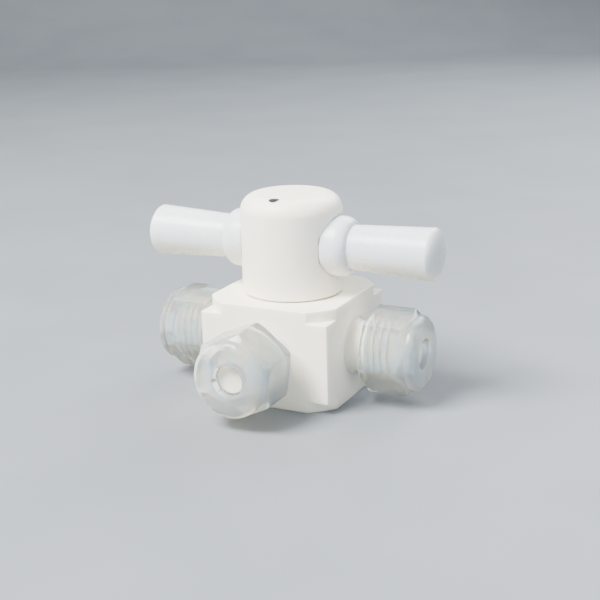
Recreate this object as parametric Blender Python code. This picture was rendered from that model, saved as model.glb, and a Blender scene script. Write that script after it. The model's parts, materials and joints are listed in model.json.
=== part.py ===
"""Three way valve for 8 mm fluoropolymer tube, as an assembly of its separate pieces.

A square PTFE body carries three union nut tube ports, at -X, +X and -Y. A T-bored ball inside it
is turned through a stem by a round hub with two handle bars. The origin is the centre of the foot
on which the valve stands. +Z is up, and the handle turns about it. Lengths are in metres.
"""

import math

import bmesh
import bpy
from mathutils import Matrix, Vector

MM = 0.001

# Driving dimensions
BODY_WIDTH = 38.0 * MM
BODY_HEIGHT = 28.5 * MM
HUB_DIAMETER = 28.3 * MM
HUB_TOP = 56.1 * MM
HANDLE_LENGTH = 88.8 * MM
NUT_ACROSS_CORNERS = 24.4 * MM
PORT_REACH = 39.4 * MM
TUBE_DIAMETER = 8.0 * MM
TUBE_BORE = 6.0 * MM
GAP = 0.3 * MM

# Body
PORT_Z = BODY_HEIGHT / 2
HALF_WIDTH = BODY_WIDTH / 2
TURNED_RADIUS = 1.205 * HALF_WIDTH
TURNED_HEIGHT = 3.15 * MM
FOOT_BEVEL = 0.5 * MM
SPIGOT_RADIUS = 7.0 * MM
SPIGOT_END = 33.8 * MM
SPIGOT_CHAMFER = 0.6 * MM

# Ball, seats and the chamber that holds them
BORE_RADIUS = TUBE_BORE / 2
BALL_RADIUS = 7.0 * MM
BALL_CLEARANCE = 0.4 * MM
CHAMBER_RADIUS = 8.6 * MM
CHAMBER_FLOOR = PORT_Z - BALL_RADIUS - BALL_CLEARANCE
SEAT_POCKET_START = 6.2 * MM
SEAT_INNER = 5.9 * MM
SEAT_OUTER = 11.0 * MM
SEAT_RADIUS = 5.5 * MM
SLOT_WIDTH = 3.2 * MM
SLOT_DEPTH = 2.75 * MM
BALL_TOP = PORT_Z + BALL_RADIUS

# Bonnet, which screws into the top of the body and guides the stem
BONNET_RADIUS = 10.3 * MM
BONNET_BOTTOM = 22.7 * MM
BONNET_TOP = 31.0 * MM
BONNET_RECESS_RADIUS = 6.0 * MM
BONNET_RECESS_TOP = 24.9 * MM
BONNET_SLOT = 2.0 * MM
BONNET_GROOVE_Z = 24.2 * MM
BONNET_GROOVE_WIDTH = 2.1 * MM
BONNET_GROOVE_RADIUS = 8.5 * MM

# Stem
STEM_RADIUS = 3.6 * MM
STEM_FLANGE_RADIUS = 5.6 * MM
STEM_FLANGE = (21.9 * MM, 23.6 * MM)
STEM_SQUARE = 5.0 * MM
STEM_SQUARE_BOTTOM = 31.6 * MM
STEM_TOP = 47.0 * MM
STEM_GROOVES = (26.6 * MM, 29.2 * MM)
STEM_GROOVE_WIDTH = 1.8 * MM
STEM_GROOVE_RADIUS = 2.1 * MM
WASHER_BOTTOM = STEM_FLANGE[1] + GAP
WASHER_TOP = BONNET_RECESS_TOP - GAP

# Hub and handle bars
HUB_RADIUS = HUB_DIAMETER / 2
HUB_BOTTOM = BODY_HEIGHT + GAP
HUB_FILLET = 4.6 * MM
HUB_FOOT_BEVEL = 0.4 * MM
HUB_CAVITY_RADIUS = 11.0 * MM
HUB_CAVITY_TOP = 32.0 * MM
BAR_Z = (BODY_HEIGHT + HUB_TOP) / 2
BAR_TIP = HANDLE_LENGTH / 2
BAR_DOME = 2.6 * MM
BAR_RIM_DEGREES = 20
BAR_ROOT_RADIUS = 6.1 * MM
BAR_END_RADIUS = 7.2 * MM
COLLAR_RADIUS = 8.3 * MM
COLLAR_SEAT = 11.6 * MM
COLLAR_SHOULDER = 15.2 * MM
COLLAR_END = 18.8 * MM
STUD_RADIUS = 3.0 * MM
DOT_OFFSET = 10.1 * MM
DOT_RADIUS = 1.4 * MM
DOT_DEPTH = 0.8 * MM

# Union nut, compression sleeve and blanking plug, measured outward along the port's axis
NUT_RADIUS = NUT_ACROSS_CORNERS / 2
NUT_BACK = 24.3 * MM
NUT_BACK_RADIUS = 11.2 * MM
NUT_BACK_ROUNDING = 0.9 * MM
NUT_HEX_END = 35.2 * MM
NUT_NECK = 36.9 * MM
NUT_COLLAR_RADIUS = 10.5 * MM
NUT_COLLAR_ROUNDING = 1.8 * MM
NUT_BORE_RADIUS = SPIGOT_RADIUS + GAP
NUT_CONE_START = 34.3 * MM
NUT_CONE_END = 36.3 * MM
NUT_HOLE_RADIUS = TUBE_DIAMETER / 2 + GAP
SLEEVE_START = SPIGOT_END + GAP
SLEEVE_RADIUS = 6.9 * MM
SLEEVE_TIP_RADIUS = 5.2 * MM
PLUG_START = 29.4 * MM
PLUG_END = 37.2 * MM
PLUG_CHAMFER = 0.3 * MM

# Facets round a turned shape, and along an arc of a profile
BODY_STEPS = 96
HUB_STEPS = 64
ROUND_STEPS = 48
SMALL_STEPS = 32
DOT_STEPS = 24
BALL_STEPS = 36
ARC_STEPS = 6
RIM_STEPS = 5
CUP_STEPS = 4
O_RING_SIDES = 8

SHARP_ANGLE = math.radians(30)
CUT_MARGIN = 1.0 * MM
PORTS = {"right": 0.0, "left": math.pi, "front": -math.pi / 2}

# How far each nut stands from having a corner straight up, in degrees about its port's axis
NUT_TURNS = {"right": -18, "left": 20, "front": -8}

# Colour, roughness and metallic value of each material
FINISHES = {
    "ptfe_white": ((0.88, 0.87, 0.84, 1), 0.42, 0.0),
    "pfa_milky": ((0.80, 0.83, 0.85, 1), 0.22, 0.0),
    "pfa_clear": ((0.66, 0.73, 0.79, 1), 0.16, 0.0),
    "ptfe_seat": ((0.90, 0.89, 0.86, 1), 0.35, 0.0),
    "fluoro_rubber": ((0.02, 0.02, 0.02, 1), 0.55, 0.0),
    "black_inlay": ((0.01, 0.01, 0.01, 1), 0.5, 0.0),
}


def clear_scene():
    for old in list(bpy.data.objects):
        bpy.data.objects.remove(old, do_unlink=True)


def material(finish):
    """The Principled material of this finish, made once."""
    found = bpy.data.materials.get(finish)
    if found:
        return found
    colour, roughness, metallic = FINISHES[finish]
    made = bpy.data.materials.new(finish)
    made.use_nodes = True
    shader = made.node_tree.nodes["Principled BSDF"]
    shader.inputs["Base Color"].default_value = colour
    shader.inputs["Roughness"].default_value = roughness
    shader.inputs["Metallic"].default_value = metallic
    made.diffuse_color = colour
    return made


def add_object(name, mesh_builder, finish=None, parent=None):
    """An object made from a bmesh. One with no finish is a cutter, which isn't rendered."""
    mesh = bpy.data.meshes.new(name)
    bmesh.ops.recalc_face_normals(mesh_builder, faces=mesh_builder.faces)
    mesh_builder.to_mesh(mesh)
    mesh_builder.free()
    made = bpy.data.objects.new(name, mesh)
    bpy.context.scene.collection.objects.link(made)
    made.parent = parent
    if finish:
        mesh.materials.append(material(finish))
        mesh.shade_smooth()
        mesh.set_sharp_from_angle(angle=SHARP_ANGLE)
    else:
        made.hide_render = True
        made.display_type = "WIRE"
    return made


def turned_shape(profile, steps=ROUND_STEPS):
    """A solid of revolution about Z from closed (radius, height) points."""
    shape = bmesh.new()
    verts = [shape.verts.new((radius, 0, height)) for radius, height in profile]
    edges = [shape.edges.new(pair) for pair in zip(verts, verts[1:] + verts[:1])]
    on_axis = [edge for edge in edges if all(vert.co.x == 0 for vert in edge.verts)]
    for edge in on_axis:
        edges.remove(edge)
        shape.edges.remove(edge)
    bmesh.ops.spin(
        shape,
        geom=verts + edges,
        cent=(0, 0, 0),
        axis=(0, 0, 1),
        dvec=(0, 0, 0),
        angle=2 * math.pi,
        steps=steps,
        use_merge=True,
        use_duplicate=False,
    )
    bmesh.ops.remove_doubles(shape, verts=shape.verts, dist=0.001 * MM)
    return shape


def box_shape(low, high):
    """A box between two corners."""
    shape = bmesh.new()
    bmesh.ops.create_cube(shape, size=1)
    size = [top - bottom for bottom, top in zip(low, high)]
    middle = [(top + bottom) / 2 for bottom, top in zip(low, high)]
    shape.transform(Matrix.Translation(middle) @ Matrix.Diagonal((*size, 1)))
    return shape


def arc_points(centre, radius, start, end, steps=ARC_STEPS):
    """Points of an arc in the profile plane, with its angles in degrees."""
    angles = [math.radians(start + (end - start) * step / steps) for step in range(steps + 1)]
    return [
        (centre[0] + radius[0] * math.cos(angle), centre[1] + radius[1] * math.sin(angle))
        for angle in angles
    ]


def boolean(target, other, operation):
    cut = target.modifiers.new(f"{operation.lower()}_{other.name}", "BOOLEAN")
    cut.object = other
    cut.operation = operation
    cut.solver = "EXACT"


def pivot(name, location, direction=None):
    """An empty on a joint's axis. Given a level direction, its Z looks that way and its Y is up."""
    made = bpy.data.objects.new(name, None)
    bpy.context.scene.collection.objects.link(made)
    made.empty_display_size = 10 * MM
    made.location = location
    if direction:
        made.rotation_mode = "QUATERNION"
        made.rotation_quaternion = Vector(direction).to_track_quat("Z", "Y")
    return made


def port_direction(port):
    return (math.cos(PORTS[port]), math.sin(PORTS[port]), 0)


def port_pivot(name, port):
    return pivot(name, (0, 0, PORT_Z), port_direction(port))


def ring_profile(inner, outer, bottom, top):
    return [(outer, top), (outer, bottom), (inner, bottom), (inner, top)]


def disc_profile(radius, bottom, top):
    return ring_profile(0, radius, bottom, top)


def body_envelope_profile():
    """Both ends of the square bar are turned, and the middle keeps its square corners."""
    beyond = BODY_WIDTH
    top = BODY_HEIGHT
    return [
        (0, 0),
        (TURNED_RADIUS - FOOT_BEVEL, 0),
        (TURNED_RADIUS, FOOT_BEVEL),
        (TURNED_RADIUS, TURNED_HEIGHT),
        (beyond, TURNED_HEIGHT),
        (beyond, top - TURNED_HEIGHT),
        (TURNED_RADIUS, top - TURNED_HEIGHT),
        (TURNED_RADIUS, top),
        (0, top),
    ]


def chamber_profile():
    """The ball's chamber, with the bonnet's wider pocket above it."""
    pocket = BONNET_RADIUS + GAP
    return [
        (0, CHAMBER_FLOOR),
        (CHAMBER_RADIUS, CHAMBER_FLOOR),
        (CHAMBER_RADIUS, BONNET_BOTTOM - GAP),
        (pocket, BONNET_BOTTOM - GAP),
        (pocket, BODY_HEIGHT + CUT_MARGIN),
        (0, BODY_HEIGHT + CUT_MARGIN),
    ]


def spigot_profile():
    root = HALF_WIDTH - CUT_MARGIN
    return [
        (0, root),
        (SPIGOT_RADIUS, root),
        (SPIGOT_RADIUS, SPIGOT_END - SPIGOT_CHAMFER),
        (SPIGOT_RADIUS - SPIGOT_CHAMFER, SPIGOT_END),
        (0, SPIGOT_END),
    ]


def waterway_profile():
    """The pocket of a seat, the bore, and the socket for the tube or its plug."""
    return [
        (0, SEAT_POCKET_START),
        (SEAT_RADIUS + GAP, SEAT_POCKET_START),
        (SEAT_RADIUS + GAP, SEAT_OUTER + GAP),
        (BORE_RADIUS, SEAT_OUTER + GAP),
        (BORE_RADIUS, PLUG_START - GAP),
        (NUT_HOLE_RADIUS, PLUG_START - GAP),
        (NUT_HOLE_RADIUS, SPIGOT_END + CUT_MARGIN),
        (0, SPIGOT_END + CUT_MARGIN),
    ]


def make_valve_body():
    low = (-HALF_WIDTH, -HALF_WIDTH, -CUT_MARGIN)
    high = (HALF_WIDTH, HALF_WIDTH, BODY_HEIGHT + CUT_MARGIN)
    body = add_object("valve_body", box_shape(low, high), "ptfe_white")
    boolean(body, add_object("body_envelope", turned_shape(body_envelope_profile(), BODY_STEPS)), "INTERSECT")
    for port in PORTS:
        axis = port_pivot(f"spigot_axis_{port}", port)
        boolean(body, add_object(f"spigot_{port}", turned_shape(spigot_profile()), parent=axis), "UNION")
    boolean(body, add_object("chamber", turned_shape(chamber_profile())), "DIFFERENCE")
    for port in PORTS:
        axis = bpy.data.objects[f"spigot_axis_{port}"]
        waterway = turned_shape(waterway_profile(), SMALL_STEPS)
        boolean(body, add_object(f"waterway_{port}", waterway, parent=axis), "DIFFERENCE")


def make_seat(port):
    """A ring whose inner end is a cup that follows the ball, a gap away from it."""
    cup = BALL_RADIUS + GAP
    start = math.degrees(math.asin(BORE_RADIUS / cup))
    end = math.degrees(math.acos(SEAT_INNER / cup))
    # The cup's angles are measured from the port's axis, which is the profile's height.
    cup_points = arc_points((0, 0), (cup, cup), 90 - start, 90 - end, CUP_STEPS)
    profile = cup_points + [
        (SEAT_RADIUS, SEAT_INNER),
        (SEAT_RADIUS, SEAT_OUTER),
        (BORE_RADIUS, SEAT_OUTER),
    ]
    axis = port_pivot(f"seat_axis_{port}", port)
    add_object(f"seat_{port}", turned_shape(profile, SMALL_STEPS), "ptfe_seat", axis)


def make_ball(handle):
    shape = bmesh.new()
    bmesh.ops.create_uvsphere(
        shape, u_segments=BALL_STEPS, v_segments=BALL_STEPS // 2, radius=BALL_RADIUS
    )
    shape.transform(Matrix.Translation((0, 0, PORT_Z)))
    ball = add_object("ball", shape, "ptfe_seat", handle)
    reach = BALL_RADIUS + CUT_MARGIN
    through = port_pivot("ball_bore_axis", "right")
    bore = turned_shape(disc_profile(BORE_RADIUS, -reach, reach), SMALL_STEPS)
    boolean(ball, add_object("ball_bore", bore, parent=through), "DIFFERENCE")
    branch = port_pivot("ball_branch_axis", "front")
    leg = turned_shape(disc_profile(BORE_RADIUS, 0, reach), SMALL_STEPS)
    boolean(ball, add_object("ball_branch", leg, parent=branch), "DIFFERENCE")
    low = (-BALL_RADIUS, -SLOT_WIDTH / 2, BALL_TOP - SLOT_DEPTH)
    high = (BALL_RADIUS, SLOT_WIDTH / 2, BALL_TOP + CUT_MARGIN)
    boolean(ball, add_object("ball_slot", box_shape(low, high)), "DIFFERENCE")


def stem_profile():
    """Flange at the bottom, two grooves for O-rings, and the round part of the top."""
    points = [
        (0, STEM_FLANGE[0]),
        (STEM_FLANGE_RADIUS, STEM_FLANGE[0]),
        (STEM_FLANGE_RADIUS, STEM_FLANGE[1]),
        (STEM_RADIUS, STEM_FLANGE[1]),
    ]
    for height in STEM_GROOVES:
        low = height - STEM_GROOVE_WIDTH / 2
        high = height + STEM_GROOVE_WIDTH / 2
        points += [
            (STEM_RADIUS, low),
            (STEM_GROOVE_RADIUS, low),
            (STEM_GROOVE_RADIUS, high),
            (STEM_RADIUS, high),
        ]
    return points + [(STEM_RADIUS, STEM_SQUARE_BOTTOM), (0, STEM_SQUARE_BOTTOM)]


def make_stem(handle):
    """The stem drives the ball by a tang and takes the hub on a square."""
    stem = add_object("stem", turned_shape(stem_profile(), SMALL_STEPS), "ptfe_seat", handle)
    tang_half = SLOT_WIDTH / 2 - GAP
    tang_low = (-STEM_RADIUS + GAP, -tang_half, BALL_TOP - SLOT_DEPTH + GAP)
    tang_high = (STEM_RADIUS - GAP, tang_half, STEM_FLANGE[1] - GAP)
    boolean(stem, add_object("stem_tang", box_shape(tang_low, tang_high)), "UNION")
    half = STEM_SQUARE / 2
    square_low = (-half, -half, STEM_SQUARE_BOTTOM - CUT_MARGIN)
    boolean(stem, add_object("stem_square", box_shape(square_low, (half, half, STEM_TOP))), "UNION")


def make_o_ring(name, ring_radius, section_radius, height, parent=None):
    last = 360 - 360 / O_RING_SIDES
    radius = (section_radius, section_radius)
    section = arc_points((ring_radius, height), radius, 0, last, O_RING_SIDES - 1)
    add_object(name, turned_shape(section, SMALL_STEPS), "fluoro_rubber", parent)


def make_o_rings(handle):
    stem_bore = STEM_RADIUS + GAP
    section = (stem_bore - STEM_GROOVE_RADIUS) / 2 - GAP
    ring = (stem_bore + STEM_GROOVE_RADIUS) / 2
    for name, height in zip(("stem_o_ring_lower", "stem_o_ring_upper"), STEM_GROOVES):
        make_o_ring(name, ring, section, height, handle)
    pocket = BONNET_RADIUS + GAP
    section = (pocket - BONNET_GROOVE_RADIUS) / 2 - GAP
    make_o_ring("bonnet_o_ring", (pocket + BONNET_GROOVE_RADIUS) / 2, section, BONNET_GROOVE_Z)


def make_thrust_washer(handle):
    profile = ring_profile(STEM_RADIUS + GAP, STEM_FLANGE_RADIUS, WASHER_BOTTOM, WASHER_TOP)
    add_object("thrust_washer", turned_shape(profile, SMALL_STEPS), "ptfe_seat", handle)


def make_bonnet():
    """A plug with a bore for the stem, a groove for its seal and a slot for a key."""
    groove_low = BONNET_GROOVE_Z - BONNET_GROOVE_WIDTH / 2
    groove_high = BONNET_GROOVE_Z + BONNET_GROOVE_WIDTH / 2
    bore = STEM_RADIUS + GAP
    profile = [
        (BONNET_RECESS_RADIUS, BONNET_BOTTOM),
        (BONNET_RADIUS, BONNET_BOTTOM),
        (BONNET_RADIUS, groove_low),
        (BONNET_GROOVE_RADIUS, groove_low),
        (BONNET_GROOVE_RADIUS, groove_high),
        (BONNET_RADIUS, groove_high),
        (BONNET_RADIUS, BONNET_TOP),
        (bore, BONNET_TOP),
        (bore, BONNET_RECESS_TOP),
        (BONNET_RECESS_RADIUS, BONNET_RECESS_TOP),
    ]
    bonnet = add_object("bonnet", turned_shape(profile), "ptfe_white")
    low = (-BODY_WIDTH, -BONNET_SLOT / 2, BONNET_TOP - BONNET_SLOT)
    high = (BODY_WIDTH, BONNET_SLOT / 2, BONNET_TOP + CUT_MARGIN)
    boolean(bonnet, add_object("bonnet_slot", box_shape(low, high)), "DIFFERENCE")


def hub_profile():
    fillet_centre = (HUB_RADIUS - HUB_FILLET, HUB_TOP - HUB_FILLET)
    return [
        (0, HUB_CAVITY_TOP),
        (HUB_CAVITY_RADIUS, HUB_CAVITY_TOP),
        (HUB_CAVITY_RADIUS, HUB_BOTTOM),
        (HUB_RADIUS - HUB_FOOT_BEVEL, HUB_BOTTOM),
        (HUB_RADIUS, HUB_BOTTOM + HUB_FOOT_BEVEL),
        *arc_points(fillet_centre, (HUB_FILLET, HUB_FILLET), 0, 90),
        (0, HUB_TOP),
    ]


def bar_seat_profile():
    """The hole for a bar's stud, and the flat seat of its collar."""
    return [
        (0, 0),
        (STUD_RADIUS + GAP, 0),
        (STUD_RADIUS + GAP, COLLAR_SEAT),
        (COLLAR_RADIUS + GAP, COLLAR_SEAT),
        (COLLAR_RADIUS + GAP, HUB_RADIUS + CUT_MARGIN),
        (0, HUB_RADIUS + CUT_MARGIN),
    ]


def make_hub(handle):
    hub = add_object("handle_hub", turned_shape(hub_profile(), HUB_STEPS), "ptfe_white", handle)
    half = STEM_SQUARE / 2 + GAP
    low = (-half, -half, HUB_CAVITY_TOP - CUT_MARGIN)
    boolean(hub, add_object("hub_socket", box_shape(low, (half, half, STEM_TOP + GAP))), "DIFFERENCE")
    for side, direction in (("right", 1), ("left", -1)):
        axis = pivot(f"bar_seat_axis_{side}", (0, 0, BAR_Z), (direction, 0, 0))
        seat = add_object(f"bar_seat_{side}", turned_shape(bar_seat_profile()), parent=axis)
        boolean(hub, seat, "DIFFERENCE")
    recess = disc_profile(DOT_RADIUS + GAP, HUB_TOP - DOT_DEPTH - GAP, HUB_TOP + CUT_MARGIN)
    dot_recess = add_object("dot_recess", turned_shape(recess, DOT_STEPS))
    dot_recess.location = (0, -DOT_OFFSET, 0)
    boolean(hub, dot_recess, "DIFFERENCE")


def make_indicator_dot(handle):
    """The inlay that marks the branch leg of the ball's T-bore."""
    profile = disc_profile(DOT_RADIUS, HUB_TOP - DOT_DEPTH, HUB_TOP)
    dot = add_object("indicator_dot", turned_shape(profile, DOT_STEPS), "black_inlay", handle)
    dot.location = (0, -DOT_OFFSET, 0)


def bar_profile():
    """Stud, rounded collar, flaring grip and domed end, outward from the stem's flat."""
    stud_start = STEM_SQUARE / 2 + GAP
    fall = (COLLAR_RADIUS - BAR_ROOT_RADIUS, COLLAR_END - COLLAR_SHOULDER)
    collar = arc_points((BAR_ROOT_RADIUS, COLLAR_SHOULDER), fall, 0, 90)
    # The dome is the end of an ellipse, cut off at the grip's rim.
    rim = math.radians(BAR_RIM_DEGREES)
    across = BAR_END_RADIUS / math.cos(rim)
    deep = BAR_DOME / (1 - math.sin(rim))
    dome = arc_points((0, BAR_TIP - deep), (across, deep), BAR_RIM_DEGREES, 90, RIM_STEPS)
    return [
        (0, stud_start),
        (STUD_RADIUS, stud_start),
        (STUD_RADIUS, COLLAR_SEAT + GAP),
        (COLLAR_RADIUS, COLLAR_SEAT + GAP),
        *collar,
        *dome[:-1],
        (0, BAR_TIP),
    ]


def make_handle_bar(side, direction, handle):
    axis = pivot(f"bar_axis_{side}", (0, 0, BAR_Z), (direction, 0, 0))
    axis.parent = handle
    axis.matrix_parent_inverse.identity()
    add_object(f"handle_bar_{side}", turned_shape(bar_profile()), "pfa_milky", axis)


def nut_envelope_profile():
    """The rounded back, the full hexagon, and the round collar at the outer end."""
    back_centre = (NUT_BACK_RADIUS, NUT_BACK + NUT_BACK_ROUNDING)
    rise = NUT_RADIUS - NUT_BACK_RADIUS
    collar_centre = (NUT_COLLAR_RADIUS - NUT_COLLAR_ROUNDING, PORT_REACH - NUT_COLLAR_ROUNDING)
    return [
        (0, NUT_BACK),
        *arc_points(back_centre, (rise, NUT_BACK_ROUNDING), -90, 0),
        (NUT_RADIUS, NUT_HEX_END),
        (NUT_COLLAR_RADIUS - GAP, NUT_NECK),
        (NUT_COLLAR_RADIUS, NUT_NECK + GAP),
        *arc_points(collar_centre, (NUT_COLLAR_ROUNDING, NUT_COLLAR_ROUNDING), 0, 90),
        (0, PORT_REACH),
    ]


def nut_bore_profile():
    """The threaded bore, the cone that presses on the sleeve, and the hole for the tube."""
    return [
        (0, NUT_BACK - CUT_MARGIN),
        (NUT_BORE_RADIUS, NUT_BACK - CUT_MARGIN),
        (NUT_BORE_RADIUS, NUT_CONE_START),
        (SLEEVE_TIP_RADIUS + GAP, NUT_CONE_END),
        (NUT_HOLE_RADIUS, NUT_CONE_END),
        (NUT_HOLE_RADIUS, PORT_REACH + CUT_MARGIN),
        (0, PORT_REACH + CUT_MARGIN),
    ]


def make_union_nut(port):
    axis = port_pivot(f"nut_axis_{port}", port)
    shape = bmesh.new()
    bmesh.ops.create_cone(
        shape,
        cap_ends=True,
        segments=6,
        radius1=NUT_RADIUS,
        radius2=NUT_RADIUS,
        depth=PORT_REACH - NUT_BACK + 2 * CUT_MARGIN,
    )
    # The cone's first corner is on its Y, which the pivot holds upright.
    turn = Matrix.Rotation(math.radians(NUT_TURNS[port]), 4, "Z")
    shape.transform(Matrix.Translation((0, 0, (PORT_REACH + NUT_BACK) / 2)) @ turn)
    nut = add_object(f"union_nut_{port}", shape, "pfa_clear", axis)
    envelope = add_object(f"nut_envelope_{port}", turned_shape(nut_envelope_profile()), parent=axis)
    boolean(nut, envelope, "INTERSECT")
    bore = turned_shape(nut_bore_profile(), SMALL_STEPS)
    boolean(nut, add_object(f"nut_bore_{port}", bore, parent=axis), "DIFFERENCE")


def make_compression_sleeve(port):
    profile = [
        (NUT_HOLE_RADIUS, SLEEVE_START),
        (SLEEVE_RADIUS, SLEEVE_START),
        (SLEEVE_TIP_RADIUS, NUT_CONE_END - GAP),
        (NUT_HOLE_RADIUS, NUT_CONE_END - GAP),
    ]
    axis = port_pivot(f"sleeve_axis_{port}", port)
    add_object(f"compression_sleeve_{port}", turned_shape(profile, SMALL_STEPS), "ptfe_seat", axis)


def make_blanking_plug(port):
    radius = TUBE_DIAMETER / 2
    profile = [
        (0, PLUG_START),
        (radius - PLUG_CHAMFER, PLUG_START),
        (radius, PLUG_START + PLUG_CHAMFER),
        (radius, PLUG_END - PLUG_CHAMFER),
        (radius - PLUG_CHAMFER, PLUG_END),
        (0, PLUG_END),
    ]
    axis = port_pivot(f"plug_axis_{port}", port)
    add_object(f"blanking_plug_{port}", turned_shape(profile, SMALL_STEPS), "ptfe_white", axis)


def build():
    clear_scene()
    handle = pivot("handle_axis", (0, 0, 0))
    make_valve_body()
    make_bonnet()
    make_ball(handle)
    make_stem(handle)
    make_o_rings(handle)
    make_thrust_washer(handle)
    make_hub(handle)
    make_indicator_dot(handle)
    make_handle_bar("right", 1, handle)
    make_handle_bar("left", -1, handle)
    for port in PORTS:
        make_seat(port)
        make_union_nut(port)
        make_compression_sleeve(port)
        make_blanking_plug(port)


build()
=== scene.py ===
"""Looks for the three way valve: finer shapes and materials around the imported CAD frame.

Lengths are in metres and in the CAD frame: the foot's centre is the origin, +Z is up, the handle
bars and two ports lie along X, and the third port points to -Y. A shape that belongs to a port or
a bar is made along its own +Z first, and then turned to where it goes.
"""

import json
import math

import bmesh
import bpy
from mathutils import Matrix, Vector


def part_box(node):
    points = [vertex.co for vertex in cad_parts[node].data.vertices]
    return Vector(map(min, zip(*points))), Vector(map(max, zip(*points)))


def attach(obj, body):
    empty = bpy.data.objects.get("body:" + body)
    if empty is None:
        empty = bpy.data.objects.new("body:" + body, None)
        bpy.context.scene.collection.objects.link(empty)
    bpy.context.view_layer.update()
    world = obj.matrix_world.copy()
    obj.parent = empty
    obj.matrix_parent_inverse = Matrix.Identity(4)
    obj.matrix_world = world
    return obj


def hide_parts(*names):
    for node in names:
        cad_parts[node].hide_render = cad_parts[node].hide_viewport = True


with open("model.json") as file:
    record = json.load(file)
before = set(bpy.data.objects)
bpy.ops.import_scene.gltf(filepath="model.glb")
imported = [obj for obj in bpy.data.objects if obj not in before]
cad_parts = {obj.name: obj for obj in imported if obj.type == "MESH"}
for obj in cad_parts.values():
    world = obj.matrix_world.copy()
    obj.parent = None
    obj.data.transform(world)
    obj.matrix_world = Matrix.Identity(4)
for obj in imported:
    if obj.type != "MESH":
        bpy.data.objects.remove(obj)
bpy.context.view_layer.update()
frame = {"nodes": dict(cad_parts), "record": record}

MM = 0.001

# Places taken from the frame
HUB_LOW, HUB_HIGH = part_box("handle_hub")
BAR_LOW, BAR_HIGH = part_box("handle_bar_right")
NUT_LOW, NUT_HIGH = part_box("union_nut_front")
PLUG_LOW, PLUG_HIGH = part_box("blanking_plug_right")
SLEEVE_LOW, SLEEVE_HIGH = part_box("compression_sleeve_right")
DOT_LOW, DOT_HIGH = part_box("indicator_dot")
BLOCK_LOW, BLOCK_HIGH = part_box("valve_body")

# Body
BLOCK_HALF = 19.0 * MM
BLOCK_TOP = BLOCK_HIGH.z
TURNED_RADIUS = 1.205 * BLOCK_HALF
TURNED_HEIGHT = 3.15 * MM
CORNER_STEPS = 12
PORT_Z = (NUT_LOW.z + NUT_HIGH.z) / 2
BLOCK_EASE = 0.3 * MM
CHAMBER_RADIUS = 8.6 * MM
CHAMBER_FLOOR = 6.85 * MM
BONNET_SEAT = 22.4 * MM
BONNET_POCKET_RADIUS = 10.6 * MM
SEAT_POCKET_START = 6.2 * MM
SEAT_POCKET_END = 11.3 * MM
SEAT_POCKET_RADIUS = 5.8 * MM
BORE_RADIUS = 3.0 * MM

# Spigots and their thread
SPIGOT_ROOT = 18.0 * MM
SPIGOT_END = -BLOCK_LOW.x
SPIGOT_FILLET = 1.1 * MM
SPIGOT_CHAMFER = 0.5 * MM
SPIGOT_HOLE_CHAMFER = 0.2 * MM
SOCKET_START = PLUG_LOW.x - 0.3 * MM
NECK_RADIUS = 7.0 * MM
NECK_END = 22.7 * MM
THREAD_START = 23.6 * MM
THREAD_END = SPIGOT_END - 0.6 * MM
THREAD_PITCH = 2.0 * MM
THREAD_ROOT = 6.7 * MM
THREAD_DEPTH = 0.95 * MM
THREAD_FADE = 0.7 * MM
THREAD_PLAY = 0.22 * MM
ROWS_PER_PITCH = 14

# Where a flank starts and how far it reaches, as shares of the wave that shapes the thread
FLANK_START = 0.2
FLANK_SHARE = 0.55

# Union nuts, measured outward along the port
NUT_RADIUS = 12.2 * MM
NUT_FLAT = NUT_RADIUS * math.cos(math.pi / 6)
NUT_BACK = -NUT_HIGH.y
PORT_REACH = -NUT_LOW.y
NUT_EASE = 0.5 * MM
NUT_BACK_RADIUS = 11.2 * MM
NUT_BACK_ROUNDING = 0.9 * MM
NUT_HEX_END = 35.2 * MM
NUT_NECK = 36.9 * MM
NUT_COLLAR_RADIUS = 10.5 * MM
NUT_COLLAR_ROUNDING = 1.8 * MM
NUT_THREAD_START = NUT_BACK + 0.8 * MM
NUT_THREAD_END = 33.6 * MM
NUT_CONE_END = SLEEVE_HIGH.x + 0.3 * MM
NUT_CONE_RADIUS = 5.5 * MM
NUT_CONE_START = SLEEVE_LOW.x + 0.2 * MM
NUT_HOLE_RADIUS = 4.3 * MM
NUT_HOLE_ROUNDING = 0.4 * MM
NUT_MOUTH_BEVEL = 0.4 * MM
NUT_ROW_SPACING = 0.45 * MM
SLEEVE_RADIUS = (SLEEVE_HIGH.z - SLEEVE_LOW.z) / 2
SLEEVE_TIP_RADIUS = 5.2 * MM
SLEEVE_EASE = 0.25 * MM
SLEEVE_TIP_EASE = 0.2 * MM
SLEEVE_HOLE_EASE = 0.15 * MM
PLUG_RADIUS = (PLUG_HIGH.z - PLUG_LOW.z) / 2

# Hub and handle bars
HUB_RADIUS = (HUB_HIGH.x - HUB_LOW.x) / 2
HUB_FILLET = 4.6 * MM
HUB_FOOT_BEVEL = 0.4 * MM
HUB_CAVITY_RADIUS = 11.0 * MM
HUB_CAVITY_TOP = 32.0 * MM
BAR_Z = (BAR_LOW.z + BAR_HIGH.z) / 2
BAR_TIP = BAR_HIGH.x
COLLAR_RADIUS = (BAR_HIGH.z - BAR_LOW.z) / 2
COLLAR_SEAT = 11.6 * MM
COLLAR_SHOULDER = 15.2 * MM
COLLAR_END = 18.8 * MM
BAR_ROOT_RADIUS = 6.1 * MM
BAR_END_RADIUS = 7.2 * MM
BAR_DOME = 2.6 * MM
BAR_RIM_ANGLE = math.radians(20)
STUD_RADIUS = 3.0 * MM
STUD_START = BAR_LOW.x
STUD_CHAMFER = 0.4 * MM
SEAT_PLAY = 0.04 * MM
COLLAR_GAP = 0.3 * MM
BAR_RIM = 0.4 * MM
SQUARE_HALF = 2.8 * MM
SQUARE_TOP = 47.3 * MM
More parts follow.
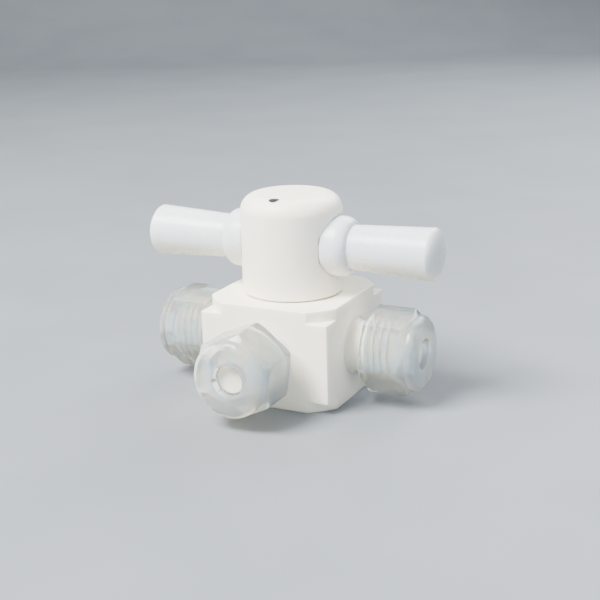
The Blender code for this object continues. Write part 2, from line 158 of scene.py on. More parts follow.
DOT_RADIUS = (DOT_HIGH.x - DOT_LOW.x) / 2
DOT_Y = (DOT_LOW.y + DOT_HIGH.y) / 2
DOT_PLAY = 0.02 * MM
DOT_SAG = 0.05 * MM

# Steps round a turned shape, and along a curve of its profile
FINE_STEPS = 128
SMALL_STEPS = 64
NUT_STEPS = 180
CURVE_STEPS = 5
FILLET_STEPS = 6
QUARTER_STEPS = 10
DOME_STEPS = 16

SHARP_ANGLE = math.radians(28)
BEVEL_SEGMENTS = 3
EDGE_EASE = 0.3 * MM
CUT_MARGIN = 1.0 * MM

# The distance between the rings of a wave texture whose scale is 1
WAVE_SPACING = 0.314

PORTS = {"right": Vector((1, 0, 0)), "left": Vector((-1, 0, 0)), "front": Vector((0, -1, 0))}
SIDES = {"right": Vector((1, 0, 0)), "left": Vector((-1, 0, 0))}

# How far each nut stands from having a corner straight up, about its port's axis
NUT_TURNS = {"right": math.radians(-18), "left": math.radians(20), "front": math.radians(-8)}

# Camera, which looks from in front and a little to the right
CAMERA_AZIMUTH = math.radians(26.63)
CAMERA_ELEVATION = math.radians(16.68)
CAMERA_ROLL = math.radians(-1.45)
CAMERA_DISTANCE = 346.1 * MM
CAMERA_LENS = 73.72
CAMERA_SENSOR = 36.0
CAMERA_TARGET_HEIGHT = 25.18 * MM
CAMERA_SIDE_STEP = 1.73 * MM
CAMERA_CLIP = 10 * MM

# Floor and backdrop, which are one curved sheet
FLOOR_REACH = 1.6
FLOOR_BACK = 0.9
FLOOR_BEND = 0.35
BACKDROP_TOP = 1.6

# Place, width, power and colour of each soft light
LIGHTS = {
    "key": ((-0.28, -0.42, 0.72), 0.4, 42.0, (1.0, 0.955, 0.875)),
    "fill": ((0.75, -0.45, 0.35), 0.6, 4.0, (0.95, 0.97, 1.0)),
    "back": ((0.1, 0.7, 0.55), 0.5, 11.0, (0.97, 0.98, 1.0)),
}
LIGHT_TARGET = (0, 0, 0.03)
WORLD_COLOUR = (0.84, 0.88, 0.92, 1)
WORLD_STRENGTH = 0.45


# Shapes


def rounded(corners):
    """A closed profile through (radius, height, rounding) corners, each eased by a short curve."""
    points = []
    for index, (radius, height, rounding) in enumerate(corners):
        corner = Vector((radius, height))
        if not rounding:
            points.append(corner)
            continue
        before = Vector(corners[index - 1][:2])
        after = Vector(corners[(index + 1) % len(corners)][:2])
        start = corner + (before - corner).normalized() * rounding
        end = corner + (after - corner).normalized() * rounding
        for step in range(CURVE_STEPS + 1):
            t = step / CURVE_STEPS
            points.append(start * (1 - t) ** 2 + corner * 2 * t * (1 - t) + end * t**2)
    return [(point.x, point.y) for point in points]


def quarter_curve(centre, across, deep, steps=QUARTER_STEPS, start=0.0):
    """Points of a quarter ellipse, or of what is left of it after a start angle, to its end."""
    angles = [start + (math.pi / 2 - start) * step / steps for step in range(steps + 1)]
    return [
        (centre[0] + across * math.cos(angle), centre[1] + deep * math.sin(angle))
        for angle in angles
    ]


def thread_ridge(height, angle):
    """The height of a right-hand thread over its root: 0 in the root and 1 on the crest."""
    wave = 0.5 + 0.5 * math.cos(2 * math.pi * height / THREAD_PITCH - angle)
    flank = min(max((wave - FLANK_START) / FLANK_SHARE, 0), 1)
    return flank * flank * (3 - 2 * flank)


def threaded_wall(root, start, end, inside=False):
    """Rows of a threaded wall: (radius, height, ridge). The thread fades out at both ends."""
    rows = math.ceil((end - start) / THREAD_PITCH * ROWS_PER_PITCH)
    points = []
    for row in range(rows + 1):
        height = start + (end - start) * row / rows
        depth = THREAD_DEPTH * min(1, (height - start) / THREAD_FADE, (end - height) / THREAD_FADE)
        base = root + THREAD_DEPTH - depth if inside else root
        points.append((base, height, depth))
    return points


def eased_minimum(first, second, ease):
    """The smaller of two lengths, with the change from one to the other rounded off."""
    overlap = max(ease - abs(first - second), 0) / ease
    return min(first, second) - overlap * overlap * ease / 4


def hexagon_reach(angle):
    """The distance from the axis to a hexagon with a corner on +Y."""
    sixth = math.pi / 3
    return NUT_FLAT / math.cos((angle + sixth / 2) % sixth - sixth / 2)


def spaced(profile, spacing):
    """The profile with its long stretches divided, so that no row is far from the next."""
    points = []
    for (radius, height), (next_radius, next_height) in zip(profile, profile[1:]):
        length = math.hypot(next_radius - radius, next_height - height)
        parts = max(1, math.ceil(length / spacing))
        for part in range(parts):
            t = part / parts
            points.append((radius + (next_radius - radius) * t, height + (next_height - height) * t))
    return points + [profile[-1]]


def turned_mesh(profile, steps, hexagon_turn=None):
    """A closed bmesh turned about Z from profile rows (radius, height[, ridge]).

    With hexagon_turn, no point reaches beyond the flats of a hexagon turned by that angle.
    """
    shape = bmesh.new()
    rings = []
    for radius, height, *ridge in profile:
        if radius == 0:
            rings.append([shape.verts.new((0, 0, height))])
            continue
        ring = []
        for step in range(steps):
            angle = 2 * math.pi * step / steps
            reach = radius + (ridge[0] * thread_ridge(height, angle) if ridge else 0)
            if hexagon_turn is not None:
                reach = eased_minimum(reach, hexagon_reach(angle - hexagon_turn), NUT_EASE)
            ring.append(shape.verts.new((reach * math.cos(angle), reach * math.sin(angle), height)))
        rings.append(ring)
    for low, high in zip(rings, rings[1:] + rings[:1]):
        if len(low) == 1 and len(high) == 1:
            continue
        for step in range(steps):
            after = (step + 1) % steps
            corners = [low[step % len(low)], low[after % len(low)]]
            corners += [high[after % len(high)], high[step % len(high)]]
            shape.faces.new(list(dict.fromkeys(corners)))
    bmesh.ops.recalc_face_normals(shape, faces=shape.faces)
    return shape


def box_mesh(low, high):
    """A box between two corners."""
    shape = bmesh.new()
    bmesh.ops.create_cube(shape, size=1)
    size = Vector(high) - Vector(low)
    middle = (Vector(high) + Vector(low)) / 2
    shape.transform(Matrix.Translation(middle) @ Matrix.Diagonal((*size, 1)))
    return shape


def new_object(name, shape, place=None):
    """An object from a bmesh, smooth except at its sharp edges. place moves its mesh."""
    mesh = bpy.data.meshes.new(name)
    if place:
        shape.transform(place)
    shape.to_mesh(mesh)
    shape.free()
    mesh.shade_smooth()
    mesh.set_sharp_from_angle(angle=SHARP_ANGLE)
    made = bpy.data.objects.new(name, mesh)
    bpy.context.scene.collection.objects.link(made)
    return made


def apply_modifiers(piece):
    """Keeps what the modifiers make as the piece's own mesh."""
    graph = bpy.context.evaluated_depsgraph_get()
    finished = bpy.data.meshes.new_from_object(piece.evaluated_get(graph))
    piece.modifiers.clear()
    piece.data = finished


def cut(piece, shape, place=None):
    """Takes a bmesh out of the piece, and removes the helper object."""
    tool = new_object("cutter", shape, place)
    modifier = piece.modifiers.new("cut", "BOOLEAN")
    modifier.object = tool
    modifier.operation = "DIFFERENCE"
    modifier.solver = "EXACT"
    apply_modifiers(piece)
    bpy.data.objects.remove(tool, do_unlink=True)


def ease_edges(piece, width):
    """Rounds the sharp edges, as machining leaves them."""
    modifier = piece.modifiers.new("ease", "BEVEL")
    modifier.width = width
    modifier.segments = BEVEL_SEGMENTS
    modifier.limit_method = "ANGLE"
    modifier.angle_limit = SHARP_ANGLE
    apply_modifiers(piece)


def settle_normals(piece):
    """Lets the large faces lead the shading, so that flats stay flat beside eased edges."""
    modifier = piece.modifiers.new("normals", "WEIGHTED_NORMAL")
    modifier.keep_sharp = True
    apply_modifiers(piece)


def along(direction, height):
    """The transform that lays +Z along a level direction, at a height, with +Y upright."""
    up = Vector((0, 0, 1))
    turn = Matrix((up.cross(direction), up, direction)).transposed().to_4x4()
    return Matrix.Translation((0, 0, height)) @ turn


# Materials


class Shader:
    """A node tree around one Principled shader, with short calls for what the finishes share."""

    def __init__(self, name):
        self.material = bpy.data.materials.new(name)
        self.material.use_nodes = True
        self.nodes = self.material.node_tree.nodes
        self.links = self.material.node_tree.links
        self.principled = self.nodes["Principled BSDF"]
        self.place = self.nodes.new("ShaderNodeTexCoord").outputs["Object"]
        self.bump_output = None

    def set(self, **values):
        """Sets the shader's own inputs by name, with an underscore for each space."""
        for name, value in values.items():
            self.principled.inputs[name.replace("_", " ")].default_value = value

    def noise(self, size, detail=4.0, roughness=0.55, stretch=(1, 1, 1)):
        """Noise with features of about the given size."""
        scaled = self.nodes.new("ShaderNodeMapping")
        scaled.inputs["Scale"].default_value = [axis / size for axis in stretch]
        self.links.new(self.place, scaled.inputs["Vector"])
        texture = self.nodes.new("ShaderNodeTexNoise")
        texture.inputs["Scale"].default_value = 1.0
        texture.inputs["Detail"].default_value = detail
        texture.inputs["Roughness"].default_value = roughness
        self.links.new(scaled.outputs["Vector"], texture.inputs["Vector"])
        return texture.outputs["Fac"]

    def rings(self, spacing):
        """Fine rings about Z, as a lathe tool leaves them."""
        texture = self.nodes.new("ShaderNodeTexWave")
        texture.wave_type = "RINGS"
        texture.rings_direction = "Z"
        texture.inputs["Scale"].default_value = WAVE_SPACING / spacing
        texture.inputs["Distortion"].default_value = 0.3
        texture.inputs["Detail"].default_value = 1.0
        self.links.new(self.place, texture.inputs["Vector"])
        return texture.outputs["Fac"]

    def remap(self, value, low, high, start=0.3, end=0.7):
        """The value's range from start to end, spread smoothly from low to high."""
        spread = self.nodes.new("ShaderNodeMapRange")
        spread.interpolation_type = "SMOOTHSTEP"
        spread.inputs["From Min"].default_value = start
        spread.inputs["From Max"].default_value = end
        spread.inputs["To Min"].default_value = low
        spread.inputs["To Max"].default_value = high
        self.links.new(value, spread.inputs["Value"])
        return spread.outputs["Result"]

    def mix(self, factor, first, second):
        """A colour between two, each a colour or a socket."""
        blend = self.nodes.new("ShaderNodeMix")
        blend.data_type = "RGBA"
        self.links.new(factor, blend.inputs["Factor"])
        for socket, colour in (("A", first), ("B", second)):
            target = next(i for i in blend.inputs if i.name == socket and i.type == "RGBA")
            if isinstance(colour, tuple):
                target.default_value = (*colour, 1)
            else:
                self.links.new(colour, target)
        return next(o for o in blend.outputs if o.type == "RGBA")

    def facing_down(self):
        """How far the surface faces the floor, from 0 at level to 1 underneath."""
        normal = self.nodes.new("ShaderNodeNewGeometry").outputs["Normal"]
        split = self.nodes.new("ShaderNodeSeparateXYZ")
        self.links.new(normal, split.inputs["Vector"])
        return self.remap(split.outputs["Z"], 1, 0, -0.95, 0.05)

    def colour(self, socket):
        """Leads a socket to the base colour."""
        self.links.new(socket, self.principled.inputs["Base Color"])

    def roughness(self, socket):
        """Leads a socket to the roughness."""
        self.links.new(socket, self.principled.inputs["Roughness"])

    def bump(self, height, depth):
        """Adds a bump of the given depth on top of those before it."""
        bump = self.nodes.new("ShaderNodeBump")
        bump.inputs["Strength"].default_value = 1.0
        bump.inputs["Distance"].default_value = depth
        self.links.new(height, bump.inputs["Height"])
        if self.bump_output:
            self.links.new(self.bump_output, bump.inputs["Normal"])
        self.bump_output = bump.outputs["Normal"]
        self.links.new(self.bump_output, self.principled.inputs["Normal"])


def ptfe_white():
    """Machined PTFE: warm white, waxy, with faint tool rings and a few dull smudges."""
    shader = Shader("ptfe_white_machined")
    cloud = shader.remap(shader.noise(9 * MM, 3), 0, 1)
    body = shader.mix(cloud, (0.955, 0.90, 0.775), (0.985, 0.945, 0.85))
    smudge = shader.remap(shader.noise(2.2 * MM, 6, 0.7), 0, 0.35, 0.58, 0.78)
    shader.colour(shader.mix(smudge, body, (0.88, 0.83, 0.73)))
    shader.roughness(shader.remap(shader.noise(1.3 * MM, 5), 0.34, 0.5))
    shader.bump(shader.rings(0.42 * MM), 0.006 * MM)
    shader.bump(shader.noise(0.5 * MM, 5, 0.6), 0.02 * MM)
    shader.set(Subsurface_Weight=0.7, Subsurface_Scale=1.6 * MM, IOR=1.36)
    shader.set(Subsurface_Radius=(1.0, 0.9, 0.75))
    return shader.material


def ptfe_seat():
    """Smooth fluoropolymer for the seats, ball, stem and sleeves."""
    shader = Shader("ptfe_seat_smooth")
    cloud = shader.remap(shader.noise(4 * MM, 3), 0, 1)
    shader.colour(shader.mix(cloud, (0.86, 0.86, 0.85), (0.93, 0.93, 0.91)))
    shader.roughness(shader.remap(shader.noise(1 * MM, 4), 0.26, 0.4))
    shader.bump(shader.noise(0.4 * MM, 4), 0.012 * MM)
    shader.set(Subsurface_Weight=0.5, Subsurface_Scale=1.5 * MM, IOR=1.36)
    shader.set(Subsurface_Radius=(1.0, 0.95, 0.9))
    return shader.material


def pfa_milky():
    """Moulded PFA of the bars: milky and cool, with a warm glow painted on the faces that look down.
    """
    shader = Shader("pfa_milky_moulded")
    cloud = shader.remap(shader.noise(12 * MM, 3, stretch=(0.5, 1, 1)), 0, 1)
    cool = shader.mix(cloud, (0.63, 0.69, 0.755), (0.73, 0.78, 0.84))
    # Painted light: the warm colour on downward faces stands in for light leaving the bar
    # underneath.
    shader.colour(shader.mix(shader.facing_down(), cool, (0.98, 0.92, 0.78)))
    shader.roughness(shader.remap(shader.noise(2 * MM, 5), 0.2, 0.34))
    shader.bump(shader.noise(2.5 * MM, 3, stretch=(0.3, 1, 1)), 0.008 * MM)
    shader.set(Transmission_Weight=0.05, IOR=1.34)
    shader.set(Subsurface_Weight=1.0, Subsurface_Scale=2.4 * MM, Subsurface_Radius=(1.0, 0.92, 0.8))
    return shader.material


def pfa_clear():
    """Moulded PFA of the nuts: hazy, bluish, with flow marks, and a warm glow painted on the lower
    rim.
    """
    shader = Shader("pfa_clear_moulded")
    cloud = shader.remap(shader.noise(5 * MM, 3), 0, 1)
    cool = shader.mix(cloud, (0.72, 0.88, 1.0), (0.98, 0.99, 1.0))
    # Painted light: the warm colour on downward faces stands in for light leaving the nut at its
    # lower rim.
    shader.colour(shader.mix(shader.facing_down(), cool, (1.0, 0.87, 0.68)))
    shader.roughness(shader.remap(shader.noise(1.5 * MM, 5), 0.03, 0.09))
    shader.bump(shader.noise(1.8 * MM, 3), 0.02 * MM)
    shader.set(Transmission_Weight=0.84, IOR=1.34)
    shader.set(Subsurface_Weight=1.0, Subsurface_Scale=2 * MM, Subsurface_Radius=(1.0, 0.92, 0.8))
    return shader.material


def fluoro_rubber():
    """Matt black rubber of the O-rings."""
    shader = Shader("fluoro_rubber_moulded")
    cloud = shader.remap(shader.noise(2 * MM, 4), 0, 1)
    shader.colour(shader.mix(cloud, (0.014, 0.014, 0.015), (0.03, 0.03, 0.03)))
    shader.roughness(shader.remap(shader.noise(0.6 * MM, 4), 0.42, 0.62))
    shader.bump(shader.noise(0.2 * MM, 4), 0.01 * MM)
    return shader.material


def black_inlay():
    """The filled mark in the hub's top, worn a little grey."""
    shader = Shader("black_inlay_filled")
    worn = shader.remap(shader.noise(0.7 * MM, 6, 0.7), 0, 0.5, 0.5, 0.8)
    shader.colour(shader.mix(worn, (0.008, 0.008, 0.01), (0.06, 0.06, 0.06)))
    shader.roughness(shader.remap(shader.noise(0.3 * MM, 4), 0.4, 0.65))
    shader.bump(shader.noise(0.15 * MM, 4), 0.01 * MM)
    return shader.material


FINISHES = {
    "ptfe_white": ptfe_white(),
    "ptfe_seat": ptfe_seat(),
    "pfa_milky": pfa_milky(),
    "pfa_clear": pfa_clear(),
    "fluoro_rubber": fluoro_rubber(),
    "black_inlay": black_inlay(),
}


def place_piece(piece, body, slot, replaced):
    """Gives a finished piece the material of its slot, attaches it to its body, and hides the CAD
    node it stands for.
    """
    piece.data.materials.clear()
    piece.data.materials.append(FINISHES[slot])
    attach(piece, body)
    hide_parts(replaced)


# Body


def turned_corner(quadrant):
    """The turned arc that takes one corner off the square, from face to face."""
    start = math.acos(BLOCK_HALF / TURNED_RADIUS)
    sweep = math.pi / 2 - 2 * start
    start += quadrant * math.pi / 2
    angles = [start + sweep * step / CORNER_STEPS for step in range(CORNER_STEPS + 1)]
    return [(TURNED_RADIUS * math.cos(angle), TURNED_RADIUS * math.sin(angle)) for angle in angles]


def block_mesh():
    """A square bar whose top and foot are turned, so that only its middle has corners."""
    shape = bmesh.new()
    step = BLOCK_TOP - TURNED_HEIGHT
    levels = (0, TURNED_HEIGHT, step, BLOCK_TOP)
    arcs = []
    corners = []
    for quadrant in range(4):
        outline = turned_corner(quadrant)
        arcs.append([[shape.verts.new((x, y, level)) for x, y in outline] for level in levels])
        x, y = (math.copysign(BLOCK_HALF, outline[CORNER_STEPS // 2][axis]) for axis in (0, 1))
        corners.append([shape.verts.new((x, y, level)) for level in levels[1:3]])
    shape.faces.new([vert for arc in arcs for vert in arc[0]])
    shape.faces.new([vert for arc in arcs for vert in arc[3]])
    for arc, (low_corner, high_corner), following in zip(arcs, corners, arcs[1:] + arcs[:1]):
        for low, high in ((arc[0], arc[1]), (arc[2], arc[3])):
            for index in range(CORNER_STEPS):
                shape.faces.new((low[index], low[index + 1], high[index + 1], high[index]))
        shape.faces.new((*arc[1], low_corner))
        shape.faces.new((*arc[2], high_corner))
        shape.faces.new((arc[1][0], low_corner, high_corner, arc[2][0]))
        shape.faces.new((low_corner, arc[1][-1], arc[2][-1], high_corner))
        flat_near = [row[-1] for row in arc]
        flat_far = [row[0] for row in following]
        shape.faces.new((*flat_near, *reversed(flat_far)))
    bmesh.ops.recalc_face_normals(shape, faces=shape.faces)
    return shape


def chamber():
    """The ball's chamber and the bonnet's pocket over it."""
    return [
        (0, CHAMBER_FLOOR),
        (CHAMBER_RADIUS, CHAMBER_FLOOR),
        (CHAMBER_RADIUS, BONNET_SEAT),
        (BONNET_POCKET_RADIUS, BONNET_SEAT),
        (BONNET_POCKET_RADIUS, BLOCK_TOP + CUT_MARGIN),
        (0, BLOCK_TOP + CUT_MARGIN),
    ]


def waterway():
    """A seat's pocket and the bore behind it."""
    return [
        (0, SEAT_POCKET_START),
        (SEAT_POCKET_RADIUS, SEAT_POCKET_START),
        (SEAT_POCKET_RADIUS, SEAT_POCKET_END),
        (BORE_RADIUS, SEAT_POCKET_END),
        (BORE_RADIUS, BLOCK_HALF + CUT_MARGIN),
        (0, BLOCK_HALF + CUT_MARGIN),
    ]


def make_block():
    """The body without its spigots: the bar with the chamber and three waterways cut into it."""
    block = new_object("body_block", block_mesh())
    ease_edges(block, BLOCK_EASE)
    cut(block, turned_mesh(chamber(), SMALL_STEPS))
    for direction in PORTS.values():
        cut(block, turned_mesh(waterway(), SMALL_STEPS), place=along(direction, PORT_Z))
    settle_normals(block)
    place_piece(block, "body", "ptfe_white", "valve_body")


def spigot():
    """A port's neck, its thread, and the socket that takes the tube or its plug."""
    root_centre = (NECK_RADIUS + SPIGOT_FILLET, BLOCK_HALF + SPIGOT_FILLET)
    root = quarter_curve(root_centre, -SPIGOT_FILLET, -SPIGOT_FILLET, FILLET_STEPS)
    outside = [
        (NECK_RADIUS + SPIGOT_FILLET, SPIGOT_ROOT),
        *reversed(root),
        (NECK_RADIUS, NECK_END),
        (THREAD_ROOT, NECK_END + EDGE_EASE),
    ]
    nose = [
        (THREAD_ROOT, SPIGOT_END - SPIGOT_CHAMFER),
        (THREAD_ROOT - SPIGOT_CHAMFER, SPIGOT_END),
        (NUT_HOLE_RADIUS + SPIGOT_HOLE_CHAMFER, SPIGOT_END),
        (NUT_HOLE_RADIUS, SPIGOT_END - SPIGOT_HOLE_CHAMFER),
    ]
    inside = [
        (NUT_HOLE_RADIUS, SOCKET_START),
        (BORE_RADIUS, SOCKET_START),
        (BORE_RADIUS, SPIGOT_ROOT),
    ]
    thread = threaded_wall(THREAD_ROOT, THREAD_START, THREAD_END)
    return outside + thread + nose + inside


def make_spigot(port):
    """The threaded spigot of one port, which starts inside the block."""
    shape = turned_mesh(spigot(), SMALL_STEPS)
    piece = new_object(f"body_spigot_{port}", shape, along(PORTS[port], PORT_Z))
    place_piece(piece, "body", "ptfe_white", "valve_body")


# Ports


def nut_outside():
    """The eased back, the full hexagon, and the round collar at the outer end."""
    back_centre = (NUT_BACK_RADIUS, NUT_BACK + NUT_BACK_ROUNDING)
    rise = NUT_RADIUS - NUT_BACK_RADIUS
    back = quarter_curve(back_centre, rise, -NUT_BACK_ROUNDING, FILLET_STEPS)
    collar_centre = (NUT_COLLAR_RADIUS - NUT_COLLAR_ROUNDING, PORT_REACH - NUT_COLLAR_ROUNDING)
    collar = quarter_curve(collar_centre, NUT_COLLAR_ROUNDING, NUT_COLLAR_ROUNDING)
    return [
        *reversed(back),
        (NUT_RADIUS, NUT_HEX_END),
        (NUT_COLLAR_RADIUS - EDGE_EASE, NUT_NECK),
        (NUT_COLLAR_RADIUS, NUT_NECK + EDGE_EASE),
        *collar,
        (NUT_HOLE_RADIUS + NUT_HOLE_ROUNDING, PORT_REACH),
        (NUT_HOLE_RADIUS + NUT_HOLE_ROUNDING / 4, PORT_REACH - NUT_HOLE_ROUNDING / 4),
        (NUT_HOLE_RADIUS, PORT_REACH - NUT_HOLE_ROUNDING),
    ]


def nut_inside():
    """The hole, the cone over the sleeve, and the thread, from the outer end to the back."""
    root = THREAD_ROOT + THREAD_PLAY
    widest = root + THREAD_DEPTH
    thread = threaded_wall(root, NUT_THREAD_START, NUT_THREAD_END, inside=True)
    return [
        (NUT_HOLE_RADIUS, NUT_CONE_END),
        (NUT_CONE_RADIUS, NUT_CONE_END),
        (widest, NUT_CONE_START),
        *reversed(thread),
        (widest + NUT_MOUTH_BEVEL, NUT_BACK),
    ]


def make_union_nut(port):
    """A hexagonal nut with a real thread, turned about its port to where it was left."""
    profile = spaced(nut_outside(), NUT_ROW_SPACING) + nut_inside()
    shape = turned_mesh(profile, NUT_STEPS, NUT_TURNS[port])
    piece = new_object(f"nut_{port}", shape, along(PORTS[port], PORT_Z))
    place_piece(piece, f"{port}_nut", "pfa_clear", f"union_nut_{port}")


def make_sleeve(port):
    """The ring that the nut presses on the tube, coned at its outer side."""
    start = SLEEVE_LOW.x
    end = SLEEVE_HIGH.x
    profile = rounded(
        [
            (NUT_HOLE_RADIUS, start, SLEEVE_HOLE_EASE),
            (SLEEVE_RADIUS, start, SLEEVE_EASE),
            (SLEEVE_TIP_RADIUS, end, SLEEVE_TIP_EASE),
            (NUT_HOLE_RADIUS, end, SLEEVE_HOLE_EASE),
        ]
    )
    shape = turned_mesh(profile, SMALL_STEPS)
    piece = new_object(f"sleeve_{port}", shape, along(PORTS[port], PORT_Z))
    place_piece(piece, f"{port}_gland", "ptfe_seat", f"compression_sleeve_{port}")


def make_plug(port):
    """The short rod that closes the nut's hole and the socket behind it."""
    profile = rounded(
        [
            (0, PLUG_LOW.x, 0),
            (PLUG_RADIUS, PLUG_LOW.x, EDGE_EASE),
            (PLUG_RADIUS, PLUG_HIGH.x, EDGE_EASE),
            (0, PLUG_HIGH.x, 0),
        ]
    )
    shape = turned_mesh(profile, SMALL_STEPS)
    piece = new_object(f"plug_{port}", shape, along(PORTS[port], PORT_Z))
    place_piece(piece, f"{port}_gland", "ptfe_white", f"blanking_plug_{port}")


# Handle


def hub_outline():
    """The rounded top, the straight side, and the cavity over the bonnet."""
    fillet_centre = (HUB_RADIUS - HUB_FILLET, HUB_HIGH.z - HUB_FILLET)
    fillet = quarter_curve(fillet_centre, HUB_FILLET, HUB_FILLET)
    return [
        (0, HUB_CAVITY_TOP),
        (HUB_CAVITY_RADIUS, HUB_CAVITY_TOP),
        (HUB_CAVITY_RADIUS, HUB_LOW.z),
        (HUB_RADIUS - HUB_FOOT_BEVEL, HUB_LOW.z),
        (HUB_RADIUS, HUB_LOW.z + HUB_FOOT_BEVEL),
        *fillet,
        (0, HUB_HIGH.z),
    ]


def bar_seat():
    """The hole for a bar's stud and the flat seat of its collar."""
    return [
        (0, 0),
        (STUD_RADIUS + SEAT_PLAY, 0),
        (STUD_RADIUS + SEAT_PLAY, COLLAR_SEAT),
        (COLLAR_RADIUS + SEAT_PLAY, COLLAR_SEAT),
        (COLLAR_RADIUS + SEAT_PLAY, HUB_RADIUS + CUT_MARGIN),
        (0, HUB_RADIUS + CUT_MARGIN),
    ]


def dot_recess():
    """The hole that the dot fills, a little deeper than the dot."""
    floor = DOT_LOW.z - 0.1 * MM
    return [
        (0, floor),
        (DOT_RADIUS + DOT_PLAY, floor),
        (DOT_RADIUS + DOT_PLAY, HUB_HIGH.z + CUT_MARGIN),
        (0, HUB_HIGH.z + CUT_MARGIN),
    ]


def make_hub():
    """The hub, with a square socket for the stem, two seats for bars and the dot's recess."""
    hub = new_object("hub", turned_mesh(hub_outline(), FINE_STEPS))
    low = (-SQUARE_HALF, -SQUARE_HALF, HUB_CAVITY_TOP - CUT_MARGIN)
    cut(hub, box_mesh(low, (SQUARE_HALF, SQUARE_HALF, SQUARE_TOP)))
    for direction in SIDES.values():
        cut(hub, turned_mesh(bar_seat(), FINE_STEPS), place=along(direction, BAR_Z))
    cut(hub, turned_mesh(dot_recess(), SMALL_STEPS), place=Matrix.Translation((0, DOT_Y, 0)))
    settle_normals(hub)
    place_piece(hub, "handle", "ptfe_white", "handle_hub")


def make_dot():
    """The black filling, whose top sags a little below the hub's."""
    profile = [
        (0, DOT_LOW.z),
        (DOT_RADIUS, DOT_LOW.z),
        (DOT_RADIUS, DOT_HIGH.z - DOT_SAG / 2),
        (DOT_RADIUS * 0.92, DOT_HIGH.z - DOT_SAG),
        (DOT_RADIUS * 0.5, DOT_HIGH.z - 1.6 * DOT_SAG),
        (0, DOT_HIGH.z - 1.8 * DOT_SAG),
    ]
    dot = new_object("dot", turned_mesh(profile, SMALL_STEPS), Matrix.Translation((0, DOT_Y, 0)))
    place_piece(dot, "handle", "black_inlay", "indicator_dot")


def bar_outline():
    """Stud, rounded collar, flaring grip, and a domed end with a crisp rim."""
    end = BAR_TIP - BAR_DOME
    seat = COLLAR_SEAT + COLLAR_GAP
    fall = COLLAR_RADIUS - BAR_ROOT_RADIUS
    collar = quarter_curve((BAR_ROOT_RADIUS, COLLAR_SHOULDER), fall, COLLAR_END - COLLAR_SHOULDER)
    across = BAR_END_RADIUS / math.cos(BAR_RIM_ANGLE)
    deep = BAR_DOME / (1 - math.sin(BAR_RIM_ANGLE))
    dome = quarter_curve((0, BAR_TIP - deep), across, deep, DOME_STEPS, BAR_RIM_ANGLE)
    return [
        (0, STUD_START),
        (STUD_RADIUS - STUD_CHAMFER, STUD_START),
        (STUD_RADIUS, STUD_START + STUD_CHAMFER),
        (STUD_RADIUS, seat),
        (COLLAR_RADIUS - EDGE_EASE, seat),
        (COLLAR_RADIUS, seat + EDGE_EASE),
        *collar,
        (BAR_END_RADIUS - BAR_RIM / 8, end - BAR_RIM),
        (BAR_END_RADIUS, end - BAR_RIM / 4),
        *dome[1:-1],
        (0, BAR_TIP),
    ]


def make_bar(side):
    """One handle bar, with its stud inside the hub."""
    shape = turned_mesh(bar_outline(), FINE_STEPS)
    piece = new_object(f"bar_{side}", shape, along(SIDES[side], BAR_Z))
    place_piece(piece, "handle", "pfa_milky", f"handle_bar_{side}")


def finish_cad_nodes():
    """The CAD nodes that stay in use take the detailed material of their slot."""
    slots = {part["node"]: part["material_slot"] for part in frame["record"]["subparts"]}
    for name, node in frame["nodes"].items():
        if not node.hide_render:
            node.data.materials.clear()
            node.data.materials.append(FINISHES[slots[name]])


# Surroundings


def floor_pale():
    """A plain pale grey with a faint cloud in it."""
    shader = Shader("floor_pale")
    cloud = shader.remap(shader.noise(60 * MM, 2), 0, 1)
    shader.colour(shader.mix(cloud, (0.17, 0.195, 0.225), (0.185, 0.21, 0.24)))
    shader.set(Roughness=0.6)
    return shader.material


def make_floor():
    """A pale floor that curves up into a backdrop behind the valve."""
    bend_centre = (FLOOR_BACK, FLOOR_BEND)
    bend = quarter_curve(bend_centre, FLOOR_BEND, -FLOOR_BEND, DOME_STEPS)
    outline = [(-FLOOR_REACH, 0), *reversed(bend), (FLOOR_BACK + FLOOR_BEND, BACKDROP_TOP)]
    shape = bmesh.new()
    rows = []
    for depth, height in outline:
        rows.append([shape.verts.new((side, depth, height)) for side in (-FLOOR_REACH, FLOOR_REACH)])
    for near, far in zip(rows, rows[1:]):
        shape.faces.new((near[0], near[1], far[1], far[0]))
    shape.transform(Matrix.Rotation(CAMERA_AZIMUTH, 4, "Z"))
    floor = new_object("floor", shape)
    floor.data.materials.append(floor_pale())


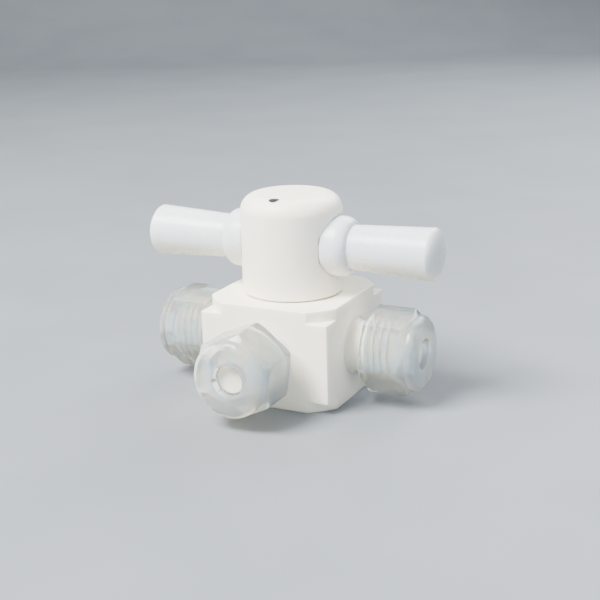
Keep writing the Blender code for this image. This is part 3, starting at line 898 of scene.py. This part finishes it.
def add_light(name, place, width, power, colour):
    """A square soft light that looks at the valve."""
    light = bpy.data.lights.new(name, "AREA")
    light.size = width
    light.energy = power
    light.color = colour
    lamp = bpy.data.objects.new(name, light)
    bpy.context.scene.collection.objects.link(lamp)
    lamp.location = place
    aim = Vector(LIGHT_TARGET) - Vector(place)
    lamp.rotation_euler = aim.to_track_quat("-Z", "Y").to_euler()


def make_lights():
    """The soft lights, and a dim pale world that fills the shadows."""
    for name, settings in LIGHTS.items():
        add_light(name, *settings)
    world = bpy.data.worlds.new("studio")
    world.use_nodes = True
    background = world.node_tree.nodes["Background"]
    background.inputs["Color"].default_value = WORLD_COLOUR
    background.inputs["Strength"].default_value = WORLD_STRENGTH
    bpy.context.scene.world = world


def make_camera():
    """A camera at a given angle round the valve, rolled a little about its own line of sight."""
    right = Vector((math.cos(CAMERA_AZIMUTH), math.sin(CAMERA_AZIMUTH), 0))
    level_back = Vector((math.sin(CAMERA_AZIMUTH), -math.cos(CAMERA_AZIMUTH), 0))
    back = level_back * math.cos(CAMERA_ELEVATION) + Vector((0, 0, math.sin(CAMERA_ELEVATION)))
    up = back.cross(right)
    rolled_right = right * math.cos(CAMERA_ROLL) + up * math.sin(CAMERA_ROLL)
    rolled_up = up * math.cos(CAMERA_ROLL) - right * math.sin(CAMERA_ROLL)
    target = Vector((0, 0, CAMERA_TARGET_HEIGHT)) + right * CAMERA_SIDE_STEP
    turn = Matrix((rolled_right, rolled_up, back)).transposed().to_4x4()
    lens = bpy.data.cameras.new("camera")
    lens.lens = CAMERA_LENS
    lens.sensor_width = CAMERA_SENSOR
    lens.clip_start = CAMERA_CLIP
    camera = bpy.data.objects.new("camera", lens)
    bpy.context.scene.collection.objects.link(camera)
    camera.matrix_world = Matrix.Translation(target + back * CAMERA_DISTANCE) @ turn
    bpy.context.scene.camera = camera


def build():
    """The valve's pieces, then the floor, the lights and the camera."""
    make_block()
    for port in PORTS:
        make_spigot(port)
        make_union_nut(port)
        make_sleeve(port)
        make_plug(port)
    make_hub()
    make_dot()
    for side in SIDES:
        make_bar(side)
    finish_cad_nodes()
    make_floor()
    make_lights()
    make_camera()


build()
